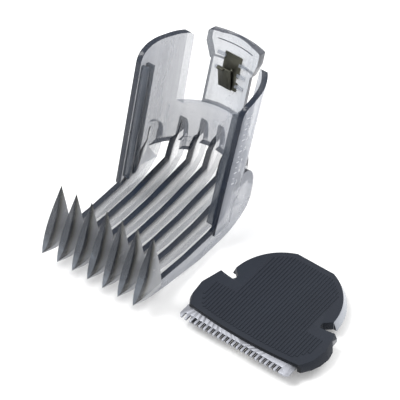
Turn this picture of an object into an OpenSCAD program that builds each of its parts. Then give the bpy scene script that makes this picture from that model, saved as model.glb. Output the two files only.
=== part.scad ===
// Attachments of a hair clipper: a sliding length comb with a click tongue,
// and beside it the detachable cutter head with its blade pair.
// X runs along the cutting edge, Y to the back, Z up. The origin is the centre
// of the bounding box on the surface that both pieces stand on. Millimetres.

/* [Comb teeth] */
// Distance from one tooth to the next
tooth_pitch = 5.92; // [5:0.01:7.2]
// Thickness of a tooth's long rib
tooth_t = 1.8; // [1.4:0.1:2.2]
// Greatest thickness of a tooth's front fin
fin_t = 2.3; // [1.8:0.1:2.8]
// Height of the fin's peak over the tip
fin_h = 21.2; // [17:0.1:26]
// How far the fin's peak lies behind the tip
fin_reach = 10.4; // [8:0.1:13]
// Height of a rib's top edge over the tip, where it bends up
rib_top = 1.6; // [0.8:0.1:3]
// Depth of the heel below the tip
heel_drop = 6.2; // [5:0.1:7.5]
// Where the flat of the heel starts behind the tip
heel_start = 32; // [28:0.5:36]

/* [Comb shell] */
// Inner radius of the shell at its foot
shell_r = 18; // [16.5:0.1:24]
// Wall of the shell
shell_wall = 1.8; // [1.2:0.1:2.4]
// Growth of the radius for each millimetre of height
shell_flare = 0.025; // [0:0.005:0.04]
// Distance from the tips back to the shell's axis
shell_axis_y = 41.8; // [38:0.1:50]
// Lean of the shell to the back, in degrees
lean = 17; // [10:1:22]
// Height of the back wall's lower edge over the tip
wall_foot = 6.6; // [5.4:0.1:8]
// Height of the back wall's upper edge over the tip
wall_rim = 19.4; // [16.5:0.1:23.5]
// Height of an arm's front top corner, along the lean
arm_h = 45.6; // [40:0.5:56]
// Reach of an arm's front edge ahead of the shell's axis
arm_front = 3.2; // [2:0.1:5]
// How far behind the axis an arm's rear edge stands
arm_back = 14.5; // [12.5:0.1:15]
// Radius on which the outer edges of the ribs end
column_r = 22.8; // [21.8:0.1:29]
// Height of the rib ends on the back wall
column_top = 13.6; // [12:0.1:16]
// How far the guide rails stand in from the arms
rail_h = 2.6; // [1.6:0.1:3]
// Height of the guide rails, along the lean
rail_top = 41; // [34:0.5:50]
// Width of each ridge of a guide rail
ridge_w = 1.3; // [1:0.1:1.6]
// Width of the channel between the ridges
channel_w = 1.4; // [1.2:0.1:2]

/* [Click tongue] */
// Half of the tongue's width
tongue_w2 = 7.55; // [6.2:0.05:9]
// Step of the tongue's inner face outward from the shell's inner face
tongue_step = 1.45; // [1.2:0.05:1.7]
// Wall of the tongue
tongue_wall = 1.5; // [1.2:0.1:1.8]
// Height of the tongue's top, along the lean
tongue_top = 52.3; // [45:0.5:62]
// Wall of the thumb pad behind the tongue
pad_wall = 1.3; // [1:0.1:1.6]
// Half of the thumb pad's width
pad_w2 = 9.8; // [9.2:0.1:11.5]
// Thickness of the detent spring's strip
strip_t = 0.4; // [0.3:0.05:0.5]
// Width of the detent spring's plate
strip_w = 6.4; // [5.4:0.1:7.6]
// Height of the detent spring's fold, along the lean
fold_z = 34.4; // [33:0.1:37]
// Length of the detent spring's plate
strip_len = 12; // [10:0.1:14]
// Length of the detent spring's leaf
leaf_len = 8.4; // [7:0.1:9.5]
// Angle between the leaf and the plate
leaf_angle = 19; // [16:1:23]

/* [Cutter head] */
// Height of the head's top face over the surface it lies on
head_h = 6; // [5.6:0.1:7.2]
// Thickness of the cover's top plate
cover_t = 1.4; // [1.2:0.1:1.6]
// Height of the cover's walls over the surface
skirt_z = 2.8; // [2.4:0.1:3.4]
// Wall of the cover's skirt
skirt_wall = 1.2; // [1:0.1:1.5]
// How far the skirt's foot stands out past the top face
draft = 1.2; // [0.6:0.1:1.5]
// Radius of the round tail
tail_r = 18.5; // [17.8:0.1:19.6]
// Centre of the round tail behind the cover's front edge
tail_y = 19.4; // [18.6:0.1:20.2]
// Where the tail's flat end lies
tail_end = 36.6; // [35:0.1:37.2]
// Half width of the front at its corners
front_w2 = 20.9; // [20.7:0.1:21.8]
// Bow of the front edge
front_bow = 1.4; // [0.5:0.1:2]
// Half width of the front at its shoulders
shoulder_w2 = 23.3; // [22.8:0.1:25]

/* [Blades] */
// Width of the guard blade
blade_w = 41; // [34:0.5:41.4]
// Shift of the guard blade to the left of the cover's middle
blade_shift = 1; // [0:0.1:1.2]
// Reach of the guard blade ahead of the cover's corners
blade_reach = 4.6; // [4:0.1:6]
// Thickness of the guard blade
blade_t = 0.8; // [0.6:0.05:0.9]
// Distance from one blade gap to the next
gap_pitch = 1.76; // [1.46:0.01:2.1]
// Width of a blade gap
gap_w = 0.95; // [0.7:0.05:1.1]
// Shift of the row of gaps away from the blade's right end
gap_shift = 1; // [0:0.1:1.1]
// Depth of a blade gap
gap_depth = 2.1; // [1.6:0.1:3.2]
// Thickness of the moving cutter blade
cutter_t = 0.7; // [0.5:0.05:0.8]
// Width of the moving cutter blade
cutter_w = 36; // [30:0.5:37]
// Travel of the cutter to each side
cutter_travel = 1.1; // [0.8:0.1:1.4]
// Running clearance between the moving and the fixed pieces
clearance = 0.05; // [0.03:0.01:0.08]
// Radius of a screw's shank
screw_r = 0.7; // [0.6:0.05:0.8]
// Radius of a screw's head
screw_head_r = 1.5; // [1.3:0.1:1.8]
// Width of the driver's slot for the clipper's pin
slot_w = 3.4; // [3:0.1:4]

/* [Layout] */
// Distance between the middle of the comb and the middle of the head
side_gap = 51.4; // [50:0.1:62]
// How far the comb's tips lie ahead of the head's front edge
set_back = 11.2; // [9:0.1:14]

/* [Hidden] */
$fn = 96;
big = 200;

// Plan sizes that place the two pieces about the common origin
tongue_r = shell_r + tongue_step + shell_flare * wall_rim;
pad_r = tongue_r + tongue_wall + pad_wall;
pad_top = tongue_top - 0.6;
comb_half = shell_r + shell_wall + shell_flare * (arm_h + 0.8);
comb_depth = shell_axis_y + pad_r * cos(lean) + pad_top * sin(lean);
head_half = shoulder_w2 + draft;
comb_x = (comb_half - head_half - side_gap) / 2;
head_x = comb_x + side_gap;
comb_y = -comb_depth / 2;
head_y = comb_y + set_back;

module place_comb() {
    translate([comb_x, comb_y, heel_drop]) children();
}

module place_head() {
    translate([head_x, head_y, 0]) children();
}

// The shell's own frame: its axis is +Z and leans to the back of the comb
module in_shell() {
    translate([0, shell_axis_y, 0]) rotate([-lean, 0, 0]) children();
}

// A plate whose outline is given as [y, z] points, t thick along X
module plate_yz(outline, t) {
    rotate([90, 0, 90]) linear_extrude(t, center = true) polygon(outline);
}

function arc(cx, cy, r, from, to, n) =
    [for (i = [0:n]) let (a = from + (to - from) * i / n) [cx + r * cos(a), cy + r * sin(a)]];

// ---- Guide comb ----------------------------------------------------------

// A flared ring about the shell's axis, between two distances from its inner face
module shell_ring(inner, outer, low, high) {
    rotate_extrude() polygon([
        [shell_r + inner + shell_flare * low, low],
        [shell_r + outer + shell_flare * low, low],
        [shell_r + outer + shell_flare * high, high],
        [shell_r + inner + shell_flare * high, high]
    ]);
}

// Y of the shell's surface of radius r, at x and at height z over the tip
function shell_depth(x, r) = sqrt(max(r * r - x * x, 0.01));
function shell_y(x, r, z) =
    shell_axis_y + shell_depth(x, r) / cos(lean) + z * tan(lean);

// Side view of an arm in the shell's frame: straight front edge, swept top
arm_outline = concat(
    [[arm_back, -12], [-arm_front, -12]],
    arc(4.3 - arm_front, arm_h - 4, 4.3, 180, 115, 6),
    [
        [1.6, arm_h + 1.1],
        [4.7, arm_h + 2.1],
        [arm_back - 6, arm_h + 2.9],
        [arm_back - 3.2, arm_h + 3.7],
        [arm_back - 0.7, arm_h + 4.2],
        [arm_back, arm_h + 3.6]
    ]
);

// What stays of an arm over the outer ribs: it steps up to the back wall's foot
arm_floor = [
    [20, -0.6], [shell_axis_y + 4.8, -0.6], [shell_axis_y + 7.1, wall_foot],
    [120, wall_foot], [120, 120], [20, 120]
];

module arm(side) {
    intersection() {
        in_shell() intersection() {
            shell_ring(0, shell_wall, -12, arm_h + 8);
            plate_yz(arm_outline, big);
        }
        plate_yz(arm_floor, big);
        translate([side > 0 ? 0 : -big, 0, -big / 2]) cube(big);
    }
}

module back_wall() {
    color([0.72, 0.74, 0.78]) place_comb() intersection() {
        in_shell() intersection() {
            shell_ring(0, shell_wall, -12, arm_h);
            translate([-big / 2, arm_back, -big / 2]) cube(big);
        }
        translate([-big / 2, 0, wall_foot]) cube([big, big, wall_rim - wall_foot]);
    }
}

module left_arm() {
    color([0.72, 0.74, 0.78]) place_comb() arm(-1);
}

module right_arm() {
    color([0.72, 0.74, 0.78]) place_comb() arm(1);
}

// Two upright ridges with a channel between them, inside an arm
module rail(side) {
    first = 0.6 - arm_front;
    intersection() {
        in_shell() intersection() {
            shell_ring(-rail_h, 0, -12, rail_top);
            union() {
                for (y = [first, first + ridge_w + channel_w])
                    translate([-big / 2, y, -big / 2]) cube([big, ridge_w, big]);
            }
            translate([side > 0 ? 0 : -big, -big / 2, -big / 2]) cube(big);
        }
        translate([-big / 2, 0, rib_top + 0.3]) cube(big);
    }
}

module left_rail() {
    color([0.45, 0.48, 0.53]) place_comb() rail(-1);
}

module right_rail() {
    color([0.45, 0.48, 0.53]) place_comb() rail(1);
}

// The stub that is left where the plastic was let into the mould
module gate_tab() {
    color([0.62, 0.65, 0.7]) place_comb() intersection() {
        in_shell() shell_ring(0.1, shell_wall - 0.2, -12, arm_h);
        translate([-1.5 * tooth_pitch - 1.4, shell_axis_y, wall_foot - 3.2]) cube([2.8, big, 3.2]);
    }
}

// Side view of a tooth's fin, seen from the right: tip, peak, back edge
fin_outline = [
    [0, 0], [fin_reach, fin_h], [fin_reach + 0.9, fin_h * 0.66],
    [fin_reach + 1.6, fin_h * 0.36], [fin_reach + 2.2, 0.9],
    [fin_reach + 2.2, -3], [7.2, -1.9]
];

// Leaf shape of the fin's front face: pointed at both ends, fullest low down
leaf_steps = 14;
fin_len = norm([fin_reach, fin_h]);
function leaf_half(t) = fin_t / 2 * sin(180 * pow(t, 0.72));
leaf_outline = concat(
    [for (i = [0:leaf_steps]) [leaf_half(i / leaf_steps), fin_len * i / leaf_steps]],
    [for (i = [leaf_steps - 1:-1:1]) [-leaf_half(i / leaf_steps), fin_len * i / leaf_steps]]
);

module fin() {
    intersection() {
        plate_yz(fin_outline, fin_t);
        rotate([90 - atan2(fin_reach, fin_h), 0, 0])
            translate([0, 0, -big / 2]) linear_extrude(big) polygon(leaf_outline);
    }
}

// Side view of a tooth's rib from the tip to its rounded end on the back wall
function rib_outline(x) =
    let (
        inside = max(abs(x) - tooth_t / 2, 0),
        bend = shell_y(inside, shell_r, rib_top) - 2.6,
        out = shell_y(x, column_r, 8),
        skin = shell_y(x, shell_r + shell_wall, column_top),
        inner = shell_y(x, shell_r + shell_wall / 2, column_top)
    )
    concat(
        [[0, 0], [fin_reach + 2.2, 0.9], [25, -0.2], [shell_axis_y - 4, -0.2], [bend, rib_top]],
        [[shell_y(inside, shell_r, wall_foot) - 1.9, wall_foot]],
        [[shell_y(inside, shell_r, wall_foot + 2.5), wall_foot + 2.5]],
        [[inner, column_top]],
        [for (a = [90:-15:0]) [skin + (out - skin) * cos(a), 8 + (column_top - 8) * sin(a)]],
        [[out - 0.3, 5.2], [out - 1.4, 1], [out - 3.2, -1.8], [out - 6.8, -0.68 * heel_drop]],
        [[out - 12, 0.4 - heel_drop], [out - 16, -heel_drop], [heel_start, -heel_drop]],
        [[heel_start - 5, 0.8 - heel_drop], [16, -0.6 * heel_drop], [7.2, -1.9]]
    );

// The ribs come to a point at the tip, seen from above
rib_plan = [
    [0, -0.1], [tooth_t / 2, 5], [tooth_t / 2, big], [-tooth_t / 2, big], [-tooth_t / 2, 5]
];

module tooth(index) {
    x = (index - 4) * tooth_pitch;
    difference() {
        translate([x, 0, 0]) {
            fin();
            intersection() {
                plate_yz(rib_outline(x), tooth_t);
                translate([0, 0, -big / 2]) linear_extrude(big) polygon(rib_plan);
            }
        }
        intersection() {
            in_shell() difference() {
                shell_ring(0, shell_wall, -12, arm_h);
                translate([-big / 2, -big - arm_front, -big / 2]) cube(big);
            }
            plate_yz(arm_floor, big);
        }
    }
}

module comb_tooth(index) {
    color([0.6, 0.63, 0.68]) place_comb() tooth(index);
}

// ---- Click tongue --------------------------------------------------------

// A straight ring about the shell's axis
module straight_ring(inner, outer, low, high) {
    translate([0, 0, low]) difference() {
        cylinder(r = outer, h = high - low);
        translate([0, 0, -1]) cylinder(r = inner, h = high - low + 2);
    }
}

// Front view of the tongue: straight sides and an arched top
arch_r = 26.5;
arch_angle = asin(tongue_w2 / arch_r);
tongue_outline = concat(
    [[-tongue_w2, 0], [tongue_w2, 0]],
    arc(0, tongue_top - arch_r, arch_r, 90 - arch_angle, 90 + arch_angle, 8)
);

// Front view of the thumb pad, which reaches round the tongue's edges: wide at
// the top, tapering to the tongue below
pad_outline = [
    [-tongue_w2 - 0.35, pad_top - 9.6], [tongue_w2 + 0.35, pad_top - 9.6],
    [pad_w2, pad_top - 4], [pad_w2, pad_top - 0.3], [pad_w2 - 0.3, pad_top],
    [0.3 - pad_w2, pad_top], [-pad_w2, pad_top - 0.3], [-pad_w2, pad_top - 4]
];

// Extrudes an outline given as [x, z] along Y, to the back of the axis only
module front_view(outline) {
    translate([0, big, 0]) rotate([90, 0, 0]) linear_extrude(big) polygon(outline);
}

module tongue_form() {
    intersection() {
        straight_ring(tongue_r, tongue_r + tongue_wall, 0, tongue_top);
        front_view(tongue_outline);
    }
}

// It stands on the back wall's rim
module click_tongue() {
    color([0.8, 0.82, 0.86]) place_comb() intersection() {
        in_shell() tongue_form();
        translate([-big / 2, 0, wall_rim]) cube(big);
    }
}

module thumb_pad() {
    color([0.86, 0.88, 0.9]) place_comb() in_shell() difference() {
        intersection() {
            straight_ring(tongue_r, pad_r, 0, pad_top);
            front_view(pad_outline);
        }
        tongue_form();
    }
}

// The strip lies flat across the tongue's curve, just off its inner face
strip_y = sqrt(pow(tongue_r, 2) - pow(strip_w / 2, 2)) - 0.2 - strip_t;
peg_h = 1;
peg_heights = [[-1, 10.2], [-1, 5], [1, 9], [1, 5.4], [1, 1.6]];

module strip_plate() {
    translate([-strip_w / 2, strip_y, fold_z]) cube([strip_w, strip_t, strip_len]);
}

// Bars on the tongue that hold the strip's edges
module spring_pegs() {
    color([0.8, 0.82, 0.86]) place_comb() in_shell() intersection() {
        difference() {
            for (peg = peg_heights) {
                left = peg[0] > 0 ? strip_w / 2 - 0.6 : -strip_w / 2 - 2.6;
                translate([left, strip_y - 0.5, fold_z + peg[1]]) cube([3.2, 5, peg_h]);
            }
            strip_plate();
        }
        cylinder(r = tongue_r, h = tongue_top);
    }
}

// Waisted plate with a small dimple
module spring_plate() {
    color([0.3, 0.3, 0.27]) place_comb() in_shell() {
        difference() {
            strip_plate();
            translate([-strip_w / 2 - 0.1, strip_y - 1, fold_z + 2.4]) cube([0.9, 3, 1.8]);
            translate([strip_w / 2 - 0.8, strip_y - 1, fold_z + 3]) cube([0.9, 3, 1.8]);
        }
        translate([0.4, strip_y, fold_z + 6.4]) intersection() {
            sphere(r = 0.5, $fn = 32);
            translate([-1, -1, -1]) cube([2, 1, 2]);
        }
    }
}

// The leaf folds in and up from the plate's lower edge and ends in a nose
leaf_w = strip_w - 1.6;
leaf_shift = 0.8;
module detent_leaf() {
    color([0.36, 0.36, 0.32]) place_comb() in_shell()
        translate([-leaf_shift, strip_y, fold_z]) rotate([leaf_angle, 0, 0]) {
            translate([-leaf_w / 2, -strip_t, 0]) cube([leaf_w, strip_t, leaf_len]);
            translate([-leaf_w / 2, -strip_t - 0.7, leaf_len - 0.8]) cube([2.4, 0.9, 0.8]);
        }
}

// ---- Cutter head ---------------------------------------------------------

blade_top = head_h - cover_t;
blade_low = blade_top - blade_t;
cutter_top = blade_low - clearance;
cutter_low = cutter_top - cutter_t;
base_low = 1.6;
base_t = 0.7;
spring_t = 0.35;
spring_low = cutter_low - clearance - spring_t;
blade_wide = 3.2;
screw_y = 6.4;
screw_x = 13;
post_y = 13;
bow_r = (pow(front_w2, 2) + pow(front_bow, 2)) / (2 * front_bow);
bow_angle = asin(front_w2 / bow_r);
notch_x = 16;
notch_y = 16.4;
shoulder_y = 9.6;

function mirrored(points) = [for (i = [len(points) - 1:-1:0]) [-points[i][0], points[i][1]]];

// Plan of the cover's front part at its foot: bowed front, shoulders and lugs
front_side = [
    [front_w2 + 0.1, 0.3], [shoulder_w2 - 0.3, 3.2], [shoulder_w2 + 0.75 * draft, 6.4],
    [shoulder_w2 + draft, 10], [shoulder_w2 + 0.5 * draft, 12.6],
    [shoulder_w2 - 0.9, 14.4], [shoulder_w2 - 1.1, 17],
    [shoulder_w2 - 4.7, notch_y], [notch_x + 0.5, notch_y - 0.2], [notch_x, notch_y + 0.6],
    [notch_x, 24]
];
front_plan = concat(
    arc(0, bow_r - front_bow + 0.2, bow_r, -90 - bow_angle, -90 + bow_angle, 12),
    front_side,
    mirrored(front_side)
);

// What stays of the round tail, behind the notches
tail_side = [[notch_x, notch_y + 1.8], [notch_x + 2.5, notch_y + 4], [big, notch_y + 4]];
tail_plan = concat(mirrored(tail_side), tail_side, [[big, big], [-big, big]]);

// Cuts off what stands out past a plane that falls outward from the top face's
// edge p to q, to the right of the way from p to q
module edge_cut(p, q, fall) {
    turn = atan2(q[1] - p[1], q[0] - p[0]);
    translate([p[0], p[1], head_h]) rotate([0, 0, turn])
        rotate([atan2(head_h - skirt_z, fall), 0, 0])
            translate([-big / 2, -big, 0]) cube([big, big, big / 2]);
}

// The cover's outer form: its skirt falls outward on all sides but the front
module cover_form() {
    wall_h = head_h - skirt_z;
    difference() {
        union() {
            translate([0, 0, skirt_z]) linear_extrude(wall_h) polygon(front_plan);
            intersection() {
                translate([0, tail_y, skirt_z])
                    cylinder(r1 = tail_r + draft, r2 = tail_r, h = wall_h);
                translate([0, 0, skirt_z]) linear_extrude(wall_h) polygon(tail_plan);
            }
        }
        edge_cut([tail_r, tail_end], [-tail_r, tail_end], draft);
        for (side = [0, 1]) mirror([side, 0, 0]) intersection() {
            translate([notch_x, -1, 0]) cube([big, notch_y + 2, big]);
            union() {
                edge_cut([front_w2 - 0.4, 0.4], [shoulder_w2 - 0.7, 4.2], draft);
                edge_cut([shoulder_w2 - 0.7, 4.2], [shoulder_w2, shoulder_y], draft);
                edge_cut([shoulder_w2, shoulder_y], [shoulder_w2 - 1.6, 16], draft);
            }
        }
    }
}

// The hollow under the top plate, open at the front for the blades
hollow_side = [
    [front_w2 - skirt_wall, 3], [shoulder_w2 - skirt_wall - 1, 7],
    [shoulder_w2 - skirt_wall - 0.3, 10], [shoulder_w2 - skirt_wall - 2, notch_y - 1.4],
    [notch_x - skirt_wall, notch_y - 1.4], [notch_x - skirt_wall, notch_y + 2.6]
];
hollow_r = tail_r - skirt_wall;
hollow_end = tail_end - skirt_wall;
hollow_plan = concat(
    [[front_w2 - skirt_wall, -8]],
    hollow_side,
    arc(0, tail_y, hollow_r, 6, asin((hollow_end - tail_y) / hollow_r), 10)
);
module cover_hollow() {
    translate([0, 0, -1]) linear_extrude(blade_top + 1) {
        polygon(concat(hollow_plan, mirrored(hollow_plan)));
        translate([-blade_w / 2 - 0.1 - blade_shift, -8]) square([blade_w + 0.2, 8 + blade_wide]);
    }
}

module head_cover() {
    color([0.17, 0.2, 0.25]) place_head() difference() {
        cover_form();
        cover_hollow();
        for (x = [-screw_x, screw_x])
            translate([x, screw_y, blade_top - 1]) cylinder(r = screw_r, h = 1.8);
        translate([0, post_y, blade_top - 1]) cylinder(r = screw_r, h = 1.8);
    }
}

// Frame that carries the guard blade and the springs, on two long rails
base_w2 = front_w2 - 3.4;
base_end = tail_end - 3.1;
base_plan = [
    [-base_w2, 4.2], [-6.6, 4.2], [-6.6, 8.4], [6.6, 8.4], [6.6, 4.2], [base_w2, 4.2],
    [base_w2, 9.6], [tail_r - 4, 12.5], [tail_r - 4.6, 24], [9, base_end - 1.8], [5, base_end],
    [-5, base_end], [-9, base_end - 1.8], [4.6 - tail_r, 24], [4 - tail_r, 12.5], [-base_w2, 9.6]
];
latch_w = 6;
latch_root = 20;
latch_len = 12;
latch_gap = 0.3;

module head_base() {
    color([0.14, 0.15, 0.17]) place_head() difference() {
        union() {
            translate([0, 0, base_low]) linear_extrude(base_t) polygon(base_plan);
            for (x = [-screw_x, screw_x])
                translate([x, screw_y, base_low]) cylinder(r = 2.2, h = blade_low - base_low);
            translate([0, post_y, base_low]) cylinder(r = 2.4, h = spring_low - base_low);
            for (x = [-11.4, 10])
                translate([x, 9.6, 0]) cube([1.4, 18, base_low]);
            for (x = [-16.9, 15.7])
                translate([x, 5, 0]) cube([1.2, 3.4, base_low]);
            translate([-9, 24.6, base_low]) cube([18, 1.6, blade_top - base_low]);
        }
        for (x = [-screw_x, screw_x])
            translate([x, screw_y, -1]) cylinder(r = screw_r + clearance, h = head_h);
        translate([0, post_y, -1]) cylinder(r = screw_r + clearance, h = head_h);
        translate([-latch_w / 2 - latch_gap, latch_root, -1])
            cube([latch_w + 2 * latch_gap, latch_len + latch_gap, head_h]);
    }
}

// Outline of a blade with round front corners, before its gaps are cut
module blade_plan(width, front, back, round) {
    translate([-width / 2, round - front]) square([width, back + front - round]);
    for (x = [round - width / 2, width / 2 - round])
        translate([x, round - front]) circle(r = round, $fn = 32);
    translate([round - width / 2, -front]) square([width - 2 * round, round]);
}

gap_count = floor((blade_w - 3.4) / gap_pitch);
cutter_gaps = floor((cutter_w - 2) / gap_pitch);
// At rest the cutter's teeth stand under the guard's gaps
half_steps = gap_shift + blade_shift + (gap_count - cutter_gaps - 1) * gap_pitch / 2;
cutter_shift = half_steps - gap_pitch * round(half_steps / gap_pitch);
module blade_gaps(front, shift, count) {
    for (i = [0:count - 1])
        translate([(i - (count - 1) / 2) * gap_pitch - gap_w / 2 - shift, -front - 1])
            square([gap_w, gap_depth + 1]);
}

module guard_blade() {
    color([0.7, 0.71, 0.74]) place_head() translate([0, 0, blade_low]) linear_extrude(blade_t)
        difference() {
            union() {
                translate([-blade_shift, 0]) blade_plan(blade_w, blade_reach, blade_wide - 0.2, 1.6);
                translate([3 - blade_w / 2, 0]) square([blade_w - 6, screw_y + 2.6]);
            }
            blade_gaps(blade_reach, gap_shift + blade_shift, gap_count);
            for (x = [-screw_x, screw_x])
                translate([x, screw_y]) circle(r = screw_r + clearance);
        }
}

module screw(length) {
    translate([0, 0, base_low - 0.8]) difference() {
        cylinder(r = screw_head_r, h = 0.8);
        translate([-screw_head_r, -0.2, -0.1]) cube([2 * screw_head_r, 0.4, 0.5]);
    }
    translate([0, 0, base_low]) cylinder(r = screw_r, h = length);
}

module guard_blade_screws() {
    color([0.6, 0.6, 0.62]) place_head()
        for (x = [-screw_x, screw_x])
            translate([x, screw_y, 0]) screw(blade_top + 0.7 - base_low);
}

// Forked leaf that presses the cutter up against the guard blade
module pressure_spring() {
    arm_in = 7;
    arm_out = 9.4;
    color([0.66, 0.66, 0.68]) place_head() translate([0, 0, spring_low]) linear_extrude(spring_t)
        difference() {
            union() {
                polygon([
                    [-3, 16], [3, 16], [arm_out, 9.6], [arm_out, 1.6], [arm_in, 1.6],
                    [arm_in, 8.8], [2.4, 10.4], [-2.4, 10.4], [-arm_in, 8.8],
                    [-arm_in, 1.6], [-arm_out, 1.6], [-arm_out, 9.6]
                ]);
            }
            translate([0, post_y]) circle(r = screw_r + clearance);
        }
}

module spring_retainer() {
    low = spring_low + spring_t;
    color([0.2, 0.21, 0.23]) place_head() difference() {
        translate([-2.6, 11, low]) cube([5.2, 4.4, blade_top - low]);
        translate([0, post_y, low - 1]) cylinder(r = screw_r + clearance, h = 5);
    }
}

module spring_screw() {
    color([0.6, 0.6, 0.62]) place_head()
        translate([0, post_y, 0]) screw(blade_top + 0.7 - base_low);
}

cutter_back = 3.4;
module cutter_blade() {
    front = blade_reach - 0.7;
    color([0.62, 0.63, 0.66]) place_head() translate([0, 0, cutter_low]) linear_extrude(cutter_t)
        difference() {
            blade_plan(cutter_w, front, cutter_back, 1);
            blade_gaps(front, cutter_shift, cutter_gaps);
        }
}

// Block on the cutter that the clipper's eccentric pin moves from side to side
driver_w = 9;
driver_front = -1.2;
driver_back = 7.2;
driver_low = 0.7;
insert_wall = 0.35;
slot_len = 4.6;
slot_front = 1.2;
module driver_slot(grow) {
    translate([-slot_w / 2 - grow, slot_front - grow, -1])
        cube([slot_w + 2 * grow, slot_len + 2 * grow, head_h]);
}

module blade_driver() {
    color([0.85, 0.85, 0.82]) place_head() difference() {
        translate([-driver_w / 2, driver_front, driver_low])
            cube([driver_w, driver_back - driver_front, cutter_low - driver_low]);
        driver_slot(insert_wall);
    }
}

module drive_insert() {
    color([0.55, 0.52, 0.42]) place_head() difference() {
        intersection() {
            driver_slot(insert_wall);
            translate([-big / 2, -big / 2, driver_low]) cube([big, big, cutter_low - driver_low]);
        }
        driver_slot(0);
    }
}

// Springy tongue cut free in the base, with a hook that snaps into the clipper
module tail_latch() {
    color([0.14, 0.15, 0.17]) place_head() {
        translate([-latch_w / 2, latch_root, base_low]) cube([latch_w, latch_len, base_t]);
        translate([-latch_w / 2 + 0.6, latch_root + latch_len - 2, 0.4])
            cube([latch_w - 1.2, 1.4, base_low - 0.4]);
    }
}

back_wall();
left_arm();
right_arm();
left_rail();
right_rail();
gate_tab();
comb_tooth(1);  // comb_tooth_1
comb_tooth(2);  // comb_tooth_2
comb_tooth(3);  // comb_tooth_3
comb_tooth(4);  // comb_tooth_4
comb_tooth(5);  // comb_tooth_5
comb_tooth(6);  // comb_tooth_6
comb_tooth(7);  // comb_tooth_7
click_tongue();
thumb_pad();
spring_pegs();
spring_plate();
detent_leaf();
head_cover();
head_base();
guard_blade();
guard_blade_screws();
pressure_spring();
spring_retainer();
spring_screw();
cutter_blade();
blade_driver();
drive_insert();
tail_latch();
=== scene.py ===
"""Looks of a hair clipper's length comb and its detachable cutter head."""

import math

import bmesh
import bpy
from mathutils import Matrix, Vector


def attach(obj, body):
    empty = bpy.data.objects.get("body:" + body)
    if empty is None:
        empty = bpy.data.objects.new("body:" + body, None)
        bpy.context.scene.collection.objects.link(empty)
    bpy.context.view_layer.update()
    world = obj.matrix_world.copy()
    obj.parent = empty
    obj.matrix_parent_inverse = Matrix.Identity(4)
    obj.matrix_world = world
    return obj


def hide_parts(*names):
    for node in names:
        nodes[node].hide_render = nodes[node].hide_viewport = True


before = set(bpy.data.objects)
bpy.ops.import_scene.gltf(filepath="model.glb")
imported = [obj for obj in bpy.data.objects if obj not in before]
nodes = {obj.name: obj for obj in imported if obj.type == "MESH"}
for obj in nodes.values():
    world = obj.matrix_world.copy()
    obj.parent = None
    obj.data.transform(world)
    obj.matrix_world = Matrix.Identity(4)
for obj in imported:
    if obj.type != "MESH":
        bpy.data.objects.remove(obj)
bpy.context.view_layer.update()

MM = 0.001

# ---- Sizes of the part, in millimetres ------------------------------------
COMB_X, COMB_Y, HEEL = -27.47, -39.3286, 6.2
HEAD_X, HEAD_Y, HEAD_H = 23.93, -28.1286, 6.0
AXIS_Y, LEAN = 41.8, math.radians(17)
SHELL_R, SHELL_WALL, FLARE = 18.0, 1.8, 0.025
TOOTH_PITCH, TOOTH_T = 5.92, 1.8
ARM_FRONT, ARM_BACK, WALL_FOOT, WALL_RIM = 3.2, 14.5, 6.6, 19.4
FIN_SLOPE = 10.4 / 21.2
TAIL_R, TAIL_Y, TAIL_END = 18.5, 19.4, 36.6
# The fins end at FIN_BACK. The ribs' top edge starts to rise RISE_FROM before the shell's
# axis, and turns steep BEND_GAP before the shell itself.
FIN_BACK, FIN_LOW = 13.2, -1.5
RISE_FROM, BEND_GAP, RISE, STEEPNESS = 4, 2.1, 1.8, 2.24
# Where the cover's lugs, notches and round tail lie, from the head's origin.
FRONT_DEPTH, TAIL_FROM, TAIL_SIDE, TAIL_WALL_R = 2.2, 19.5, 11, 17.5
SCOOP_FROM, SCOOP_TO, SCOOP_SIDE = 14.2, 17.6, 20.5
# Marks of the length scale, up the right arm.
SCALE_FOOT, SCALE_STEP, SCALE_MARKS, SCALE_LEFT = 17.2, 2.0, 13, -1.1

SWELL = 0.02            # so that pieces that only touch overlap when they are joined
MERGE_WITHIN = 2e-6     # metres between vertices that are one


def shell_to_row(x, y, z):
    """A point in the shell's leaning frame, in the row frame, both in millimetres."""
    c, s = math.cos(LEAN), math.sin(LEAN)
    return Vector((COMB_X + x, COMB_Y + AXIS_Y + y * c + z * s, HEEL - y * s + z * c))


def row_to_shell(p):
    c, s = math.cos(LEAN), math.sin(LEAN)
    y, z = p.y - COMB_Y - AXIS_Y, p.z - HEEL
    return Vector((p.x - COMB_X, y * c - z * s, y * s + z * c))


# ---- Node trees -----------------------------------------------------------
class Tree:
    """Shorthand for a node tree: add nodes, set their inputs, and link them."""

    def __init__(self, tree):
        self.tree = tree

    def add(self, kind, inputs=None, **settings):
        node = self.tree.nodes.new(kind)
        for key, value in settings.items():
            setattr(node, key, value)
        for key, value in (inputs or {}).items():
            socket = node.inputs[key]
            if isinstance(value, bpy.types.NodeSocket):
                self.tree.links.new(value, socket)
            else:
                socket.default_value = value
        return node

    def math(self, operation, a, b=0.0):
        return self.add("ShaderNodeMath", {0: a, 1: b}, operation=operation).outputs[0]


def finish_material(name, base, rough, **extra):
    """A new material with its tree, its shader and its object coordinates."""
    mat = bpy.data.materials.new(name)
    mat.use_nodes = True
    t = Tree(mat.node_tree)
    shader = mat.node_tree.nodes["Principled BSDF"]
    shader.inputs["Base Color"].default_value = (*base, 1)
    shader.inputs["Roughness"].default_value = rough
    for key, value in extra.items():
        shader.inputs[key.replace("_", " ")].default_value = value
    coords = t.add("ShaderNodeTexCoord").outputs["Object"]
    return mat, t, shader, coords


def mottled(t, coords, scale, detail=4.0, roughness=0.55):
    return t.add("ShaderNodeTexNoise",
                 {"Vector": coords, "Scale": scale, "Detail": detail,
                  "Roughness": roughness}).outputs["Fac"]


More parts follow.
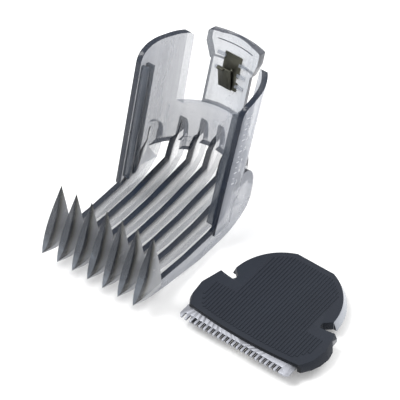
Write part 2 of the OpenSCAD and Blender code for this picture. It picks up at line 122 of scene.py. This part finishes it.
def ramp(t, fac, stops):
    node = t.add("ShaderNodeValToRGB", {"Fac": fac})
    line = node.color_ramp
    line.elements[0].position, line.elements[0].color = stops[0][0], (*stops[0][1], 1)
    line.elements[1].position, line.elements[1].color = stops[-1][0], (*stops[-1][1], 1)
    for place, colour in stops[1:-1]:
        e = line.elements.new(place)
        e.color = (*colour, 1)
    return node.outputs["Color"]


def spread(t, fac, low, high):
    return t.add("ShaderNodeMapRange",
                 {"Value": fac, "From Min": 0.3, "From Max": 0.7,
                  "To Min": low, "To Max": high}).outputs["Result"]


def bump(t, shader, height, strength, distance):
    out = t.add("ShaderNodeBump", {"Height": height, "Strength": strength,
                                   "Distance": distance}).outputs["Normal"]
    t.tree.links.new(out, shader.inputs["Normal"])


def tinted_plastic(name, light, dark, density, rough, shine=0.5):
    """Clear moulded plastic with a grey tint: faint flow marks and a polished skin."""
    mat, t, shader, coords = finish_material(name, light, rough, Specular_IOR_Level=shine)
    flow = mottled(t, coords, 70, 4)
    t.tree.links.new(ramp(t, flow, [(0.3, dark), (0.7, light)]), shader.inputs["Base Color"])
    t.tree.links.new(spread(t, flow, rough * 0.7, rough * 1.4), shader.inputs["Roughness"])
    facing = t.add("ShaderNodeLayerWeight", {"Blend": 0.35}).outputs["Facing"]
    thick = t.math("MULTIPLY", facing, (1 - density) * 0.75)
    t.tree.links.new(t.math("ADD", spread(t, flow, density - 0.04, density + 0.04), thick),
                     shader.inputs["Alpha"])
    bump(t, shader, flow, 0.1, 0.0003)
    return mat


def fin_painted_light_and_shade(name, density, rough):
    """The fins' plastic, one tint with painted shade and light: dark along the slanting front
    edge, paler to the back and tip.
    """
    mat, t, shader, coords = finish_material(name, (0.1, 0.1, 0.11), rough,
                                             Specular_IOR_Level=0.45)
    place_at = t.add("ShaderNodeSeparateXYZ", {"Vector": coords}).outputs
    back = t.math("SUBTRACT", place_at[1], COMB_Y * MM)
    up = t.math("SUBTRACT", place_at[2], HEEL * MM)
    behind = t.math("SUBTRACT", back, t.math("MULTIPLY", up, FIN_SLOPE))
    flow = mottled(t, coords, 160, 3)
    wander = t.math("MULTIPLY", t.math("SUBTRACT", flow, 0.5), 0.3)
    share = t.math("ADD", t.math("DIVIDE", behind, 6 * MM), wander)
    share = t.math("ADD", share, t.math("MULTIPLY", up, 0.015 / MM))
    # Painted shade darkens the slanting front edge; painted light pales the back and the tip.
    body = ramp(t, share, [(0.0, (0.14, 0.16, 0.19)), (0.1, (0.05, 0.057, 0.07)),
                           (0.3, (0.018, 0.021, 0.028)), (0.5, (0.1, 0.098, 0.086)),
                           (0.75, (0.24, 0.245, 0.25)), (1.0, (0.3, 0.31, 0.33))])
    # Painted light: a paler grey at and below the heel.
    low = t.math("DIVIDE", t.math("SUBTRACT", 0.5 * MM, up), 0.8 * MM)
    under = ramp(t, low, [(0.35, (0.0,) * 3), (0.65, (1.0,) * 3)])
    both = t.add("ShaderNodeMix", {0: under, 6: body, 7: (0.42, 0.43, 0.45, 1)},
                 data_type="RGBA").outputs[2]
    t.tree.links.new(both, shader.inputs["Base Color"])
    t.tree.links.new(spread(t, flow, rough * 0.7, rough * 1.4), shader.inputs["Roughness"])
    t.tree.links.new(spread(t, flow, density - 0.05, density + 0.05), shader.inputs["Alpha"])
    bump(t, shader, flow, 0.1, 0.0003)
    return mat


def rib_side_painted_reflection(name, rough):
    """The ribs' sides: a painted reflection of the rib's end, dark along the top edge, then clear.
    """
    mat, t, shader, coords = finish_material(name, (0.5, 0.5, 0.5), rough,
                                             Specular_IOR_Level=0.4)
    x, y, z = t.add("ShaderNodeSeparateXYZ", {"Vector": coords}).outputs
    x = t.math("DIVIDE", t.math("SUBTRACT", x, COMB_X * MM), MM)
    y = t.math("DIVIDE", t.math("SUBTRACT", y, COMB_Y * MM), MM)
    z = t.math("DIVIDE", t.math("SUBTRACT", z, HEEL * MM), MM)
    rib = t.math("MULTIPLY", t.math("ROUND", t.math("DIVIDE", x, TOOTH_PITCH)), TOOTH_PITCH)
    inside = t.math("MAXIMUM", t.math("SUBTRACT", t.math("ABSOLUTE", rib), TOOTH_T / 2), 0.0)
    reach = t.math("SQRT", t.math("SUBTRACT", SHELL_R ** 2, t.math("MULTIPLY", inside, inside)))
    start = AXIS_Y - RISE_FROM
    bend = t.math("ADD", t.math("DIVIDE", reach, math.cos(LEAN)), AXIS_Y - BEND_GAP)
    rise = t.math("DIVIDE", t.math("MULTIPLY", t.math("SUBTRACT", y, start), RISE),
                  t.math("SUBTRACT", bend, start))
    steep = t.math("ADD", t.math("MULTIPLY", t.math("SUBTRACT", y, bend), STEEPNESS), RISE)
    top = t.math("SUBTRACT", t.math("MAXIMUM", t.math("MAXIMUM", rise, steep), 0.0), 0.2)
    flow = mottled(t, coords, 110, 3)
    depth = t.math("ADD", t.math("SUBTRACT", top, z),
                   t.math("MULTIPLY", t.math("SUBTRACT", flow, 0.5), 0.5))
    share = t.math("DIVIDE", depth, 6.0)
    # Painted reflection: the rib's side is darkest along its top edge, and lighter and more clear
    # lower down.
    t.tree.links.new(ramp(t, share, [(0.1, (0.02, 0.026, 0.04)), (0.2, (0.1, 0.11, 0.13)),
                                     (0.34, (0.3, 0.31, 0.33)), (0.6, (0.62, 0.63, 0.64)),
                                     (1.0, (0.8, 0.8, 0.8))]), shader.inputs["Base Color"])
    t.tree.links.new(ramp(t, share, [(0.1, (0.85,) * 3), (0.22, (0.55,) * 3),
                                     (0.5, (0.42,) * 3), (1.0, (0.32,) * 3)]),
                     shader.inputs["Alpha"])
    bump(t, shader, flow, 0.1, 0.0003)
    return mat


def moulded_plastic(name, base, worn, rough, grain, shine=0.3):
    """Opaque moulded plastic with a fine spark-eroded grain."""
    mat, t, shader, coords = finish_material(name, base, rough, Specular_IOR_Level=shine)
    patch = mottled(t, coords, 60, 5)
    sand = mottled(t, coords, grain, 3, 0.7)
    t.tree.links.new(ramp(t, patch, [(0.3, base), (0.72, worn)]), shader.inputs["Base Color"])
    t.tree.links.new(spread(t, sand, rough - 0.08, rough + 0.1), shader.inputs["Roughness"])
    bump(t, shader, sand, 0.35, 0.00006)
    return mat


def brushed_steel(name, base, dull, rough, along=(6, 900, 900)):
    """Ground steel: fine scratches along X, with duller patches."""
    mat, t, shader, coords = finish_material(name, base, rough, Metallic=1.0)
    turned = t.add("ShaderNodeMapping", {"Vector": coords, "Scale": along}).outputs["Vector"]
    lines = mottled(t, turned, 3.2, 6, 0.7)
    patch = mottled(t, coords, 140, 4)
    t.tree.links.new(ramp(t, patch, [(0.3, dull), (0.7, base)]), shader.inputs["Base Color"])
    t.tree.links.new(spread(t, lines, rough - 0.1, rough + 0.14), shader.inputs["Roughness"])
    bump(t, shader, lines, 0.25, 0.00004)
    return mat


FINISH = {
    "comb_face": tinted_plastic("comb_face", (0.31, 0.33, 0.38), (0.27, 0.29, 0.34), 0.44, 0.16),
    # The ribs' sides carry a painted reflection of the rib's end along their top edge.
    "comb_rib_side_painted_reflection": rib_side_painted_reflection("comb_rib_side_painted_reflection", 0.2),
    # Painted shade: a near-black copy of the comb's smoke plastic for its narrow edges.
    "comb_edge_painted_shade": tinted_plastic("comb_edge_painted_shade", (0.016, 0.022, 0.036), (0.01, 0.014, 0.024),
                                0.95, 0.16, 0.25),
    # The fins carry painted shade along their front edge and painted light towards the back, tip
    # and heel.
    "comb_fin_painted_light_and_shade": fin_painted_light_and_shade("comb_fin_painted_light_and_shade", 0.86, 0.2),
    # Painted shade: a near-black copy of the comb's smoke plastic for the columns' sides.
    "comb_column_painted_shade": tinted_plastic("comb_column_painted_shade", (0.03, 0.034, 0.043), (0.018, 0.021, 0.03),
                                  0.88, 0.2, 0.3),
    "comb_clear": tinted_plastic("comb_clear", (0.8, 0.82, 0.85), (0.7, 0.72, 0.76), 0.16, 0.12),
    "rail_face": tinted_plastic("rail_face", (0.1, 0.115, 0.14), (0.06, 0.07, 0.09),
                                0.6, 0.2, 0.3),
    "clear_face": tinted_plastic("clear_face", (0.4, 0.43, 0.48), (0.34, 0.37, 0.42), 0.36, 0.09),
    # Painted shade: a near-black copy of the clear plastic for the tongue's edges.
    "clear_edge_painted_shade": tinted_plastic("clear_edge_painted_shade", (0.03, 0.036, 0.055), (0.02, 0.024, 0.038),
                                 0.86, 0.1, 0.3),
    "spring_dark": brushed_steel("spring_dark", (0.13, 0.13, 0.105), (0.08, 0.08, 0.065), 0.42),
    "cover_matt": moulded_plastic("cover_matt", (0.0115, 0.0145, 0.022), (0.015, 0.019, 0.028),
                                  0.55, 2600, 0.2),
    "base_matt": moulded_plastic("base_matt", (0.02, 0.021, 0.024), (0.03, 0.031, 0.035),
                                 0.5, 2200),
    "blade_satin": brushed_steel("blade_satin", (0.40, 0.41, 0.45), (0.33, 0.34, 0.375), 0.4),
    # Painted shade: the cutter's steel is far darker than the guard blade's, so the tooth gaps
    # above it look black.
    "cutter_steel_painted_shade": brushed_steel("cutter_steel_painted_shade", (0.1, 0.1, 0.105), (0.07, 0.07, 0.075), 0.4),
    # Painted shadow on the cover's front wall, under its front edge.
    "cover_wall_painted_shadow": moulded_plastic("cover_wall_painted_shadow", (0.006, 0.007, 0.01), (0.008, 0.01, 0.014),
                                  0.45, 2600, 0.2),
    # Painted highlight on the black cover's tail wall.
    "tail_painted_highlight": moulded_plastic("tail_painted_highlight", (0.36, 0.38, 0.42), (0.28, 0.3, 0.34),
                                  0.2, 900, 0.5),
    # Painted sheen on the lugs' scoops.
    "scoop_painted_sheen": moulded_plastic("scoop_painted_sheen", (0.1, 0.11, 0.125), (0.07, 0.075, 0.09),
                                   0.3, 1600, 0.5),
    "screw_satin": brushed_steel("screw_satin", (0.52, 0.52, 0.54), (0.42, 0.42, 0.44), 0.3,
                                 (900, 900, 900)),
    "spring_satin": brushed_steel("spring_satin", (0.58, 0.57, 0.55), (0.46, 0.45, 0.43), 0.28,
                                  (900, 6, 900)),
    "driver_white": moulded_plastic("driver_white", (0.7, 0.7, 0.66), (0.62, 0.61, 0.56),
                                    0.38, 1800),
    "insert_tan": moulded_plastic("insert_tan", (0.36, 0.3, 0.19), (0.3, 0.25, 0.15), 0.34, 1600),
    "scale_white": moulded_plastic("scale_white", (0.78, 0.8, 0.84), (0.66, 0.68, 0.72),
                                   0.45, 1500),
}


# ---- Mesh helpers ---------------------------------------------------------
def new_object(name, mesh):
    piece = bpy.data.objects.new(name, mesh)
    bpy.context.scene.collection.objects.link(piece)
    return piece


def merged_copy(node, swell=0.0):
    """A closed copy of a CAD node's mesh, its loose triangles merged.

    swell moves its faces out by that much, so that pieces that only touch overlap."""
    mesh = nodes[node].data.copy()
    bm = bmesh.new()
    bm.from_mesh(mesh)
    bmesh.ops.remove_doubles(bm, verts=bm.verts, dist=MERGE_WITHIN)
    if swell:
        bm.normal_update()
        for v in bm.verts:
            v.co += v.normal * swell * MM * v.calc_shell_factor()
    bm.to_mesh(mesh)
    bm.free()
    return new_object(node + "_copy", mesh)


def applied(piece):
    """Turns a piece with modifiers into a plain mesh."""
    graph = bpy.context.evaluated_depsgraph_get()
    mesh = bpy.data.meshes.new_from_object(piece.evaluated_get(graph))
    piece.modifiers.clear()
    piece.data = mesh
    return piece


def union(name, members):
    """One closed mesh from nodes that touch or overlap."""
    copies = [merged_copy(n, SWELL if members[1:] else 0.0) for n in members]
    base = copies[0]
    if copies[1:]:
        group = bpy.data.collections.new(name + "_parts")
        for c in copies[1:]:
            group.objects.link(c)
        cut = base.modifiers.new("union", "BOOLEAN")
        cut.operation, cut.solver = "UNION", "EXACT"
        cut.operand_type, cut.collection = "COLLECTION", group
        applied(base)
        for c in copies[1:]:
            bpy.data.objects.remove(c)
        bpy.data.collections.remove(group)
    base.name = name
    base.data.name = name
    return base


def tidy_faces(piece, angle=0.6):
    """Merges flat neighbouring triangles, so that edges can be rounded evenly."""
    bm = bmesh.new()
    bm.from_mesh(piece.data)
    bmesh.ops.remove_doubles(bm, verts=bm.verts, dist=MERGE_WITHIN)
    bmesh.ops.dissolve_limit(bm, angle_limit=math.radians(angle), verts=bm.verts,
                             edges=bm.edges, delimit={"MATERIAL"})
    bm.to_mesh(piece.data)
    bm.free()


def split_level(piece, z):
    """Cuts the faces along a level, so that they can have a different finish above it."""
    bm = bmesh.new()
    bm.from_mesh(piece.data)
    bmesh.ops.bisect_plane(bm, geom=bm.verts[:] + bm.edges[:] + bm.faces[:], dist=1e-7,
                           plane_co=(0, 0, z * MM), plane_no=(0, 0, 1))
    bmesh.ops.triangulate(bm, faces=bm.faces)
    bm.to_mesh(piece.data)
    bm.free()


def rounded(piece, width, segments=2, angle=32):
    """Rounds the piece's sharp edges and shades its curved faces smooth."""
    if width:
        m = piece.modifiers.new("round", "BEVEL")
        m.width, m.segments = width * MM, segments
        m.limit_method, m.angle_limit = "ANGLE", math.radians(angle)
        m.use_clamp_overlap = True
        m.miter_outer = "MITER_ARC"
        applied(piece)
    smooth(piece)
    return piece


def smooth(piece, angle=28):
    mesh = piece.data
    mesh.polygons.foreach_set("use_smooth", [True] * len(mesh.polygons))
    mesh.set_sharp_from_angle(angle=math.radians(angle))
    mesh.update()


def dress(piece, finishes, choose=None):
    """Gives a piece its finishes: choose(centre, normal) picks one by number."""
    mesh = piece.data
    mesh.materials.clear()
    for f in finishes:
        mesh.materials.append(FINISH[f])
    picks = [choose(p.center / MM, p.normal) if choose else 0 for p in mesh.polygons]
    mesh.polygons.foreach_set("material_index", picks)
    mesh.update()


def place(piece, body, slot, replaced=()):
    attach(piece, body)
    if replaced:
        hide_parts(*replaced)
    return piece


def refined(name, node, body, slot, finish, width, segments=2):
    """A CAD node with rounded edges, as its own piece."""
    piece = union(name, [node])
    tidy_faces(piece)
    rounded(piece, width, segments)
    dress(piece, [finish])
    return place(piece, body, slot, [node])


# ---- Camera, floor and light ----------------------------------------------
LENS, CAMERA_AT, CAMERA_AIM = 285.94, (0.4010, -0.5397, 0.7166), (-0.024405, 0.013054, 0.0)
FLOOR_HALF, FLOOR_Z = 3, -0.0002

scene = bpy.context.scene
cam = bpy.data.objects.new("camera", bpy.data.cameras.new("camera"))
scene.collection.objects.link(cam)
scene.camera = cam
cam.data.sensor_width = 36
cam.data.lens = LENS
cam.data.clip_start, cam.data.clip_end = 0.05, 20
cam.location = CAMERA_AT
look = Vector(CAMERA_AIM) - cam.location
cam.rotation_mode = "QUATERNION"
cam.rotation_quaternion = look.to_track_quat("-Z", "Y")

world = bpy.data.worlds.new("studio")
scene.world = world
world.use_nodes = True
world.node_tree.nodes["Background"].inputs["Color"].default_value = (1, 1, 1, 1)
world.node_tree.nodes["Background"].inputs["Strength"].default_value = 0.8
scene.view_settings.view_transform = "Standard"

floor_mesh = bpy.data.meshes.new("floor")
floor_mesh.from_pydata([(FLOOR_HALF * i, FLOOR_HALF * j, FLOOR_Z)
                        for i, j in ((-1, -1), (1, -1), (1, 1), (-1, 1))], [], [(0, 1, 2, 3)])
floor = new_object("floor", floor_mesh)
floor_mat, floor_tree, floor_shader, floor_coords = finish_material(
    "floor_paper", (0.9, 0.9, 0.9), 0.9)
floor_tree.tree.links.new(
    ramp(floor_tree, mottled(floor_tree, floor_coords, 30),
         [(0.3, (0.82, 0.82, 0.82)), (0.7, (0.84, 0.84, 0.84))]),
    floor_shader.inputs["Base Color"])
floor_shader.inputs["Emission Color"].default_value = (1, 1, 1, 1)
floor_shader.inputs["Emission Strength"].default_value = 0.16
floor_mesh.materials.append(floor_mat)


def soft_box(name, place_at, size, power, target=(0, 0, 0.02)):
    light = bpy.data.lights.new(name, "AREA")
    light.shape, light.size, light.energy = "SQUARE", size, power
    lamp = bpy.data.objects.new(name, light)
    scene.collection.objects.link(lamp)
    lamp.location = place_at
    aim = Vector(target) - Vector(place_at)
    lamp.rotation_mode = "QUATERNION"
    lamp.rotation_quaternion = aim.to_track_quat("-Z", "Y")


soft_box("key", (-0.5, -0.25, 0.9), 0.5, 9)
soft_box("back", (0.2, 0.9, 0.6), 0.6, 7)

# ---- The comb's moulding ----------------------------------------------------
COMB_NODES = ["back_wall", "left_arm", "right_arm", "gate_tab"]
COMB_NODES += [f"comb_tooth_{i}" for i in range(1, 8)]
COMB_FINISHES = ["comb_face", "comb_rib_side_painted_reflection", "comb_edge_painted_shade", "comb_fin_painted_light_and_shade", "comb_column_painted_shade",
                 "comb_clear"]
FACE, RIB_SIDE, EDGE, FIN, COLUMN, CLEAR = range(6)


def outwardness(p, n):
    """How far a face at p, in the shell's frame, looks away from the shell's axis."""
    y = n.y * math.cos(LEAN) - n.z * math.sin(LEAN)
    return (p.x * n.x + p.y * y) / max(math.hypot(p.x, p.y), 1)


def comb_finish(c, n):
    """Faces of the moulding: broad faces are clear, narrow edges and fins dark. The dark edges and
    columns are painted shade, darker copies of the one smoke plastic.
    """
    p = row_to_shell(c)
    off = math.hypot(p.x, p.y) - SHELL_R - FLARE * p.z
    x, y, z = c.x - COMB_X, c.y - COMB_Y, c.z - HEEL
    if y < FIN_BACK and z > FIN_LOW:
        return FIN
    in_shell = -0.15 < off < SHELL_WALL + 0.15 and p.y > -ARM_FRONT - 0.1 and z > 0
    outer_side = abs(x) > 17 and x * n.x > 0
    if in_shell and abs(outwardness(p, n)) > 0.8:
        return FACE
    if in_shell and z < WALL_FOOT + 0.2 and n.z < -0.5:
        return EDGE
    if in_shell and abs(z - WALL_RIM) < 0.2 and n.z > 0.5:
        return FACE
    if in_shell and p.y > ARM_BACK - 0.3 and z > WALL_RIM + 0.5 and n.z < 0.6:
        return CLEAR
    if off > SHELL_WALL and z > WALL_FOOT - 0.5 and not outer_side:
        return COLUMN
    if n.z < -0.2 or (outer_side and abs(n.x) > 0.8):
        return FACE
    return RIB_SIDE if abs(n.x) > 0.8 else EDGE


comb = union("comb_moulding", COMB_NODES)
split_level(comb, HEEL + WALL_FOOT - 0.4)
dress(comb, COMB_FINISHES, comb_finish)
tidy_faces(comb)
rounded(comb, 0.14)
place(comb, "comb", "comb_plastic", COMB_NODES)

for side in ("left", "right"):
    refined(side + "_guide_rail", side + "_rail", "comb", "comb_plastic", "rail_face", 0.15)


# ---- Click tongue -----------------------------------------------------------
def tongue_finish(c, n):
    """The tongue's broad faces are clear, and its edges dark, a painted shade in a darker copy of
    the clear plastic.
    """
    return 0 if abs(outwardness(row_to_shell(c), n)) > 0.75 else 1


tongue = union("clear_click_tongue", ["click_tongue", "thumb_pad"])
tidy_faces(tongue)
dress(tongue, ["clear_face", "clear_edge_painted_shade"], tongue_finish)
rounded(tongue, 0.16)
place(tongue, "tongue", "clear_plastic", ["click_tongue", "thumb_pad"])


def arc_strip(name, radius, half_width, low, high, proud, steps=24):
    """A thin raised strip across the inside of the tongue, bent to its curve."""
    bm = bmesh.new()
    rings = []
    for i in range(steps + 1):
        x = half_width * (2 * i / steps - 1)
        ring = []
        for r, z in ((radius + 0.1, low), (radius + 0.1, high),
                     (radius - proud, high - 0.06), (radius - proud, low + 0.06)):
            ring.append(bm.verts.new(shell_to_row(x, math.sqrt(r * r - x * x), z) * MM))
        rings.append(ring)
    for a, b in zip(rings, rings[1:]):
        for i in range(4):
            j = (i + 1) % 4
            bm.faces.new((a[i], a[j], b[j], b[i]))
    bm.faces.new(rings[0][::-1])
    bm.faces.new(rings[-1])
    bmesh.ops.recalc_face_normals(bm, faces=bm.faces)
    mesh = bpy.data.meshes.new(name)
    bm.to_mesh(mesh)
    bm.free()
    return new_object(name, mesh)


TONGUE_R = SHELL_R + 1.45 + FLARE * WALL_RIM
LINE_Z, LINE_H, LINE_HALF, LINE_PROUD = 49.3, 0.28, 6.6, 0.1
line = arc_strip("tongue_upper_line", TONGUE_R, LINE_HALF, LINE_Z, LINE_Z + LINE_H, LINE_PROUD)
# The strip is painted dark with the edges' painted shade.
dress(line, ["comb_edge_painted_shade"])
place(line, "tongue", "clear_plastic")
refined("clip_pegs", "spring_pegs", "tongue", "clear_plastic", "clear_face", 0.12)
refined("clip_plate", "spring_plate", "tongue", "dark_spring_steel", "spring_dark", 0.06)
refined("clip_leaf", "detent_leaf", "leaf", "dark_spring_steel", "spring_dark", 0.06)

# ---- Cutter head ------------------------------------------------------------
# Lit and shaded copies of the cover's plastic: a painted shadow, a painted highlight and a painted
# sheen.
COVER_FINISHES = ["cover_matt", "cover_wall_painted_shadow", "tail_painted_highlight", "scoop_painted_sheen"]
TOP, WALL, TAIL, SCOOP = range(4)


def cover_finish(c, n):
    """The cover's front wall gets a painted shadow, a darker copy of the cover's plastic; its tail
    wall gets a painted highlight and the lugs' scoops a painted sheen, lighter copies of it.
    """
    x, y = c.x - HEAD_X, c.y - HEAD_Y
    outward = x * n.x > 0
    if n.y < -0.7 and y < FRONT_DEPTH:
        return WALL
    on_tail = y > TAIL_FROM and abs(x) > TAIL_SIDE and math.hypot(x, y - TAIL_Y) > TAIL_WALL_R
    if on_tail and outward and n.z < 0.6:
        return TAIL
    if SCOOP_FROM < y < SCOOP_TO and abs(x) > SCOOP_SIDE and outward and n.z < 0.8:
        return SCOOP
    return TOP


cover = union("grooved_cover", ["head_cover"])
tidy_faces(cover)
rounded(cover, 0.3, 3)
dress(cover, COVER_FINISHES, cover_finish)
place(cover, "head", "cover_plastic", ["head_cover"])
refined("toothed_guard_blade", "guard_blade", "head", "blade_steel", "blade_satin", 0.07)
# The cutter blade takes the painted-shade steel.
refined("toothed_cutter_blade", "cutter_blade", "cutter", "blade_steel", "cutter_steel_painted_shade", 0.06)
refined("base_frame", "head_base", "head", "base_plastic", "base_matt", 0.12)

for node, finish in {
    "guard_blade_screws": "screw_satin", "pressure_spring": "spring_satin",
    "spring_retainer": "base_matt", "spring_screw": "screw_satin",
    "blade_driver": "driver_white", "drive_insert": "insert_tan", "tail_latch": "base_matt",
}.items():
    for s in nodes[node].material_slots:
        s.material = FINISH[finish]

# ---- Raised lands between the cover's grooves ---------------------------------
LAND_PITCH, LAND_W, LAND_H = 1.1, 0.72, 0.2
FRONT_HALF, BOW = 20.9, 1.4
BOW_R = (FRONT_HALF ** 2 + BOW ** 2) / (2 * BOW)


def land_tree():
    """Geometry Nodes: a row of straight lands, each as long as the cover lets it be."""
    group = bpy.data.node_groups.new("cover_lands", "GeometryNodeTree")
    face = group.interface
    face.new_socket("Geometry", in_out="INPUT", socket_type="NodeSocketGeometry")
    sizes = {"Pitch": LAND_PITCH, "Width": LAND_W, "Height": LAND_H, "Field Half Width": 19.9,
             "Tail Half Width": 13.2, "Side End": 12.4, "Border": 2.1, "Tail Radius": TAIL_R,
             "Tail Centre": TAIL_Y, "Tail End": TAIL_END, "Bow Radius": BOW_R, "Bow": BOW}
    for key in sizes:
        face.new_socket(key, in_out="INPUT", socket_type="NodeSocketFloat")
    face.new_socket("Finish", in_out="INPUT", socket_type="NodeSocketMaterial")
    face.new_socket("Geometry", in_out="OUTPUT", socket_type="NodeSocketGeometry")
    t = Tree(group)
    given = t.add("NodeGroupInput").outputs
    count = t.math("ADD", t.math("MULTIPLY", t.math("FLOOR", t.math(
        "DIVIDE", given["Field Half Width"], given["Pitch"])), 2.0), 1.0)
    first = t.math("MULTIPLY", t.math("MULTIPLY", t.math("SUBTRACT", count, 1.0), -0.5),
                   given["Pitch"])
    start = t.add("ShaderNodeCombineXYZ", {"X": first}).outputs[0]
    step = t.add("ShaderNodeCombineXYZ", {"X": given["Pitch"]}).outputs[0]
    row = t.add("GeometryNodeMeshLine", {"Count": count, "Start Location": start,
                                         "Offset": step}, mode="OFFSET").outputs["Mesh"]
    x = t.add("ShaderNodeSeparateXYZ",
              {"Vector": t.add("GeometryNodeInputPosition").outputs[0]}).outputs[0]
    far = t.math("ABSOLUTE", x)
    squared = t.math("MULTIPLY", x, x)

    def height_of_arc(radius):
        return t.math("SQRT", t.math("MAXIMUM", t.math(
            "SUBTRACT", t.math("MULTIPLY", radius, radius), squared), 0.01))

    bow = t.math("SUBTRACT", t.math("SUBTRACT", given["Bow Radius"], given["Bow"]),
                 height_of_arc(given["Bow Radius"]))
    corner = t.math("MULTIPLY", t.math("MAXIMUM", t.math("SUBTRACT", far, 17.0), 0.0), 1.4)
    low = t.math("ADD", t.math("ADD", bow, given["Border"]), corner)
    round_end = t.math("ADD", given["Tail Centre"], height_of_arc(
        t.math("SUBTRACT", given["Tail Radius"], 1.6)))
    tail_end = t.math("MINIMUM", round_end, t.math("SUBTRACT", given["Tail End"], 1.9))
    side = t.math("GREATER_THAN", far, given["Tail Half Width"])
    high = t.math("ADD", t.math("MULTIPLY", side, given["Side End"]),
                  t.math("MULTIPLY", t.math("SUBTRACT", 1.0, side), tail_end))
    length = t.math("SUBTRACT", high, low)
    middle = t.math("MULTIPLY", t.math("ADD", high, low), 0.5)
    bar = t.add("GeometryNodeMeshCube", {"Size": t.add("ShaderNodeCombineXYZ", {
        "X": given["Width"], "Y": 1.0, "Z": t.math("MULTIPLY", given["Height"], 2.0)}).outputs[0]})
    stored = t.add("GeometryNodeStoreNamedAttribute", {
        "Geometry": row, "Name": "length", "Value": length}, data_type="FLOAT",
        domain="POINT").outputs[0]
    placed = t.add("GeometryNodeSetPosition", {"Geometry": stored, "Offset": t.add(
        "ShaderNodeCombineXYZ", {"Y": middle}).outputs[0]}).outputs[0]
    kept = t.add("GeometryNodeInputNamedAttribute", {"Name": "length"},
                 data_type="FLOAT").outputs[0]
    many = t.add("GeometryNodeInstanceOnPoints", {
        "Points": placed, "Instance": bar.outputs["Mesh"],
        "Scale": t.add("ShaderNodeCombineXYZ", {"X": 1.0, "Y": kept, "Z": 1.0}).outputs[0]})
    real = t.add("GeometryNodeRealizeInstances", {"Geometry": many.outputs[0]}).outputs[0]
    done = t.add("GeometryNodeSetMaterial", {"Geometry": real,
                                             "Material": given["Finish"]}).outputs[0]
    t.add("NodeGroupOutput", {"Geometry": done})
    return group, sizes


def with_nodes(name, group, sizes, finish):
    """A piece made by a node group, its inputs set by their identifiers, as a plain mesh."""
    piece = new_object(name, bpy.data.meshes.new(name))
    m = piece.modifiers.new("nodes", "NODES")
    m.node_group = group
    for item in group.interface.items_tree:
        if item.in_out == "INPUT" and item.name in sizes:
            m[item.identifier] = float(sizes[item.name])
        elif item.in_out == "INPUT" and item.name == "Finish":
            m[item.identifier] = FINISH[finish]
    return applied(piece)


def moved_mm(piece, x, y, z):
    """Turns a piece made in millimetres about zero into metres at its place."""
    for v in piece.data.vertices:
        v.co = Vector((v.co.x + x, v.co.y + y, v.co.z + z)) * MM
    piece.data.update()


lands = with_nodes("cover_lands", *land_tree(), "cover_matt")
moved_mm(lands, HEAD_X, HEAD_Y, HEAD_H)
rounded(lands, 0.09, 1)
place(lands, "head", "cover_plastic")


# ---- Length scale on the right arm ---------------------------------------------
def on_arm(u, v, off):
    """A point on the right arm's outer face: u to the back, v up the lean, off outward."""
    r = SHELL_R + SHELL_WALL + FLARE * v + off
    return shell_to_row(math.sqrt(r * r - u * u), u, v) * MM


def slab_on_arm(bm, corners, thick=0.06):
    """A thin raised slab whose outline is given as [u, v] points on the arm."""
    top = [bm.verts.new(on_arm(u, v, thick)) for u, v in corners]
    foot = [bm.verts.new(on_arm(u, v, -0.05)) for u, v in corners]
    bm.faces.new(top)
    bm.faces.new(foot[::-1])
    for i in range(len(top)):
        j = (i + 1) % len(top)
        bm.faces.new((top[i], foot[i], foot[j], top[j]))


def numeral_on_arm(bm, text, u, v, size):
    curve = bpy.data.curves.new("numeral", "FONT")
    curve.body, curve.size = text, size
    curve.align_x, curve.align_y = "CENTER", "CENTER"
    curve.resolution_u = 3
    holder = new_object("numeral", curve)
    bpy.context.view_layer.update()
    flat = bpy.data.meshes.new_from_object(
        holder.evaluated_get(bpy.context.evaluated_depsgraph_get()))
    bpy.data.objects.remove(holder)
    face_bm = bmesh.new()
    face_bm.from_mesh(flat)
    bmesh.ops.remove_doubles(face_bm, verts=face_bm.verts, dist=1e-5)
    made = bmesh.ops.extrude_face_region(face_bm, geom=face_bm.faces[:])["geom"]
    raised = {e for e in made if isinstance(e, bmesh.types.BMVert)}
    twin = {}
    for w in face_bm.verts:
        twin[w] = bm.verts.new(on_arm(u + w.co.x, v + w.co.y, 0.06 if w in raised else -0.05))
    for f in face_bm.faces:
        bm.faces.new([twin[w] for w in f.verts])
    face_bm.free()


scale_bm = bmesh.new()
for i in range(SCALE_MARKS):
    v = SCALE_FOOT + SCALE_STEP * i
    numbered = i % 2 == 0
    right, half = (0.1, 0.14) if numbered else (-0.4, 0.1)
    slab_on_arm(scale_bm, [(SCALE_LEFT, v - half), (right, v - half),
                           (right, v + half), (SCALE_LEFT, v + half)])
    if numbered:
        numeral_on_arm(scale_bm, str(3 + 3 * (i // 2)), 1.5, v, 1.7)
bmesh.ops.recalc_face_normals(scale_bm, faces=scale_bm.faces)
scale_mesh = bpy.data.meshes.new("length_scale")
scale_bm.to_mesh(scale_mesh)
scale_bm.free()
scale = new_object("length_scale", scale_mesh)
dress(scale, ["scale_white"])
place(scale, "comb", "comb_plastic")

# ---- Last update of the view layer ------------------------------------------
bpy.context.view_layer.update()
